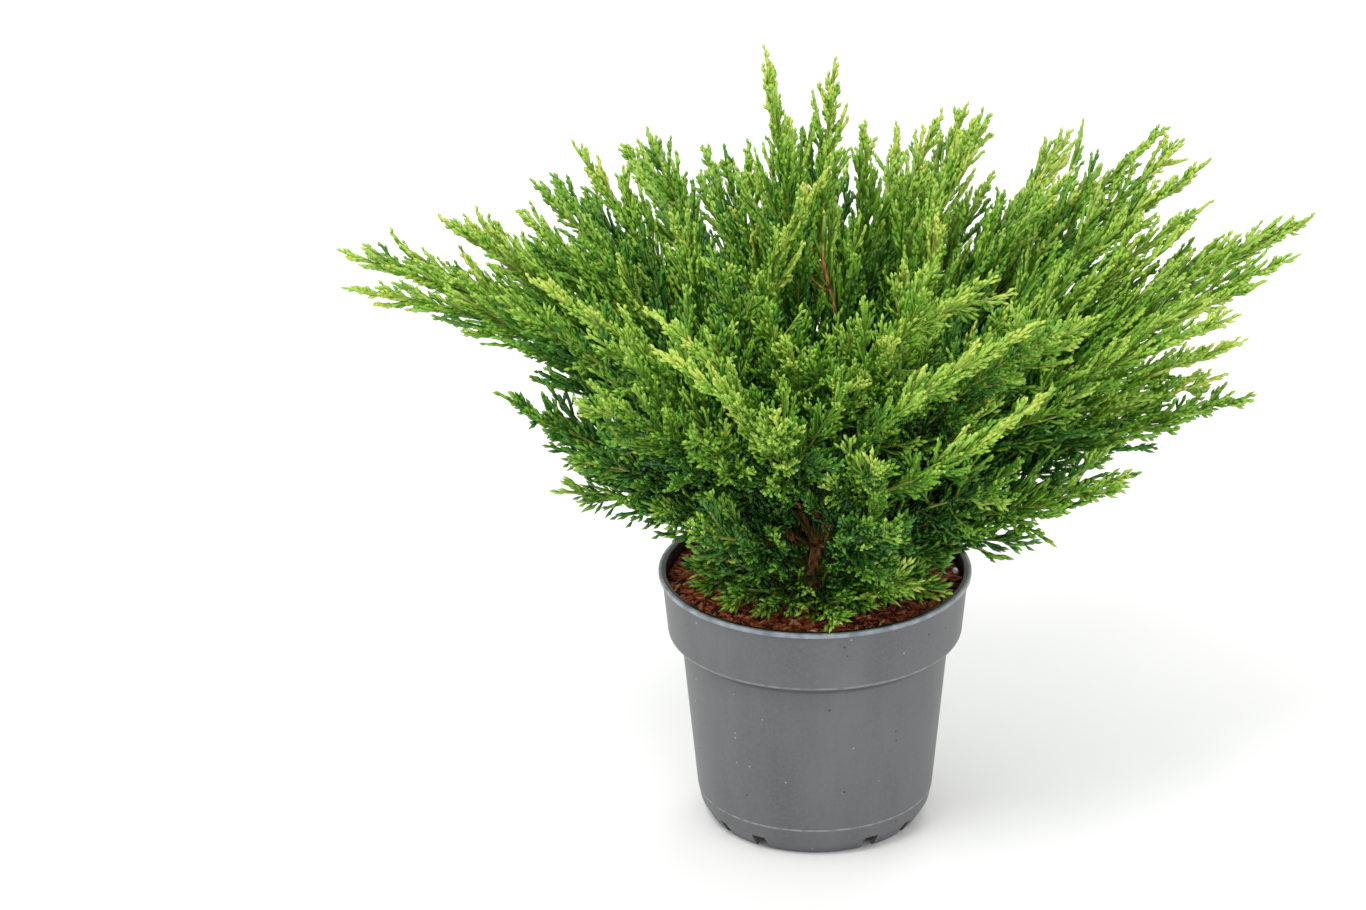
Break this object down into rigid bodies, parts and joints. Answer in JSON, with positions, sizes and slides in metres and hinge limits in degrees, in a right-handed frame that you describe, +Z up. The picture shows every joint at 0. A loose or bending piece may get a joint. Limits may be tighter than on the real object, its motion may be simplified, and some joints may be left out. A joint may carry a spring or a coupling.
{
  "type": "potted spreading juniper",
  "caption": "Low spreading evergreen shrub with arching boughs and feathery scaly sprays, in a round grey plastic nursery pot filled with bark mulch.",
  "frame": {"origin": "centre of the flat disc in the middle of the pot's underside, which stands on the floor", "axes": "+Z up along the pot's axis, -Y the front that the picture looks at, +X the right as seen from the front"},
  "size_m": [0.5015, 0.3626, 0.4129],
  "materials": {
    "pot": "mid grey moulded plastic, satin, slightly scuffed",
    "mulch": "moist red-brown shredded bark",
    "bark": "thin red-brown bark, a little flaky",
    "foliage_top": "scaly evergreen sprays, fresh green",
    "foliage_rim": "scaly evergreen sprays, fresh green with lime tips",
    "foliage_lower": "scaly evergreen sprays, deeper green",
    "foliage_skirt": "short scaly evergreen sprays, mid green"
  },
  "bodies": {
    "root": {"bark_mulch": "mulch", "bough_lower_back_left": "bark", "bough_lower_back_right": "bark", "bough_lower_front": "bark", "bough_lower_front_left": "bark", "bough_lower_front_right": "bark", "bough_lower_left": "bark", "bough_lower_right": "bark", "bough_rim_back_1": "bark", "bough_rim_back_2": "bark", "bough_rim_back_3": "bark", "bough_rim_back_left_1": "bark", "bough_rim_back_left_2": "bark", "bough_rim_back_right_1": "bark", "bough_rim_back_right_2": "bark", "bough_rim_back_right_3": "bark", "bough_rim_front": "bark", "bough_rim_front_left": "bark", "bough_rim_front_right": "bark", "bough_rim_left_1": "bark", "bough_rim_left_2": "bark", "bough_rim_right_1": "bark", "bough_rim_right_2": "bark", "bough_top_back": "bark", "bough_top_back_left": "bark", "bough_top_front": "bark", "foliage_lower_back_left": "foliage_lower", "foliage_lower_back_right": "foliage_lower", "foliage_lower_front": "foliage_lower", "foliage_lower_front_left": "foliage_lower", "foliage_lower_front_right": "foliage_lower", "foliage_lower_left": "foliage_lower", "foliage_lower_right": "foliage_lower", "foliage_rim_back_1": "foliage_rim", "foliage_rim_back_2": "foliage_rim", "foliage_rim_back_3": "foliage_rim", "foliage_rim_back_left_1": "foliage_rim", "foliage_rim_back_left_2": "foliage_rim", "foliage_rim_back_right_1": "foliage_rim", "foliage_rim_back_right_2": "foliage_rim", "foliage_rim_back_right_3": "foliage_rim", "foliage_rim_front": "foliage_rim", "foliage_rim_front_left": "foliage_rim", "foliage_rim_front_right": "foliage_rim", "foliage_rim_left_1": "foliage_rim", "foliage_rim_left_2": "foliage_rim", "foliage_rim_right_1": "foliage_rim", "foliage_rim_right_2": "foliage_rim", "foliage_skirt_back": "foliage_skirt", "foliage_skirt_back_right": "foliage_skirt", "foliage_skirt_front": "foliage_skirt", "foliage_skirt_front_left": "foliage_skirt", "foliage_skirt_front_right": "foliage_skirt", "foliage_skirt_left": "foliage_skirt", "foliage_skirt_right": "foliage_skirt", "foliage_top_back": "foliage_top", "foliage_top_back_left": "foliage_top", "foliage_top_front": "foliage_top", "pot": "pot", "trunk": "bark"}
  },
  "joints": []
}
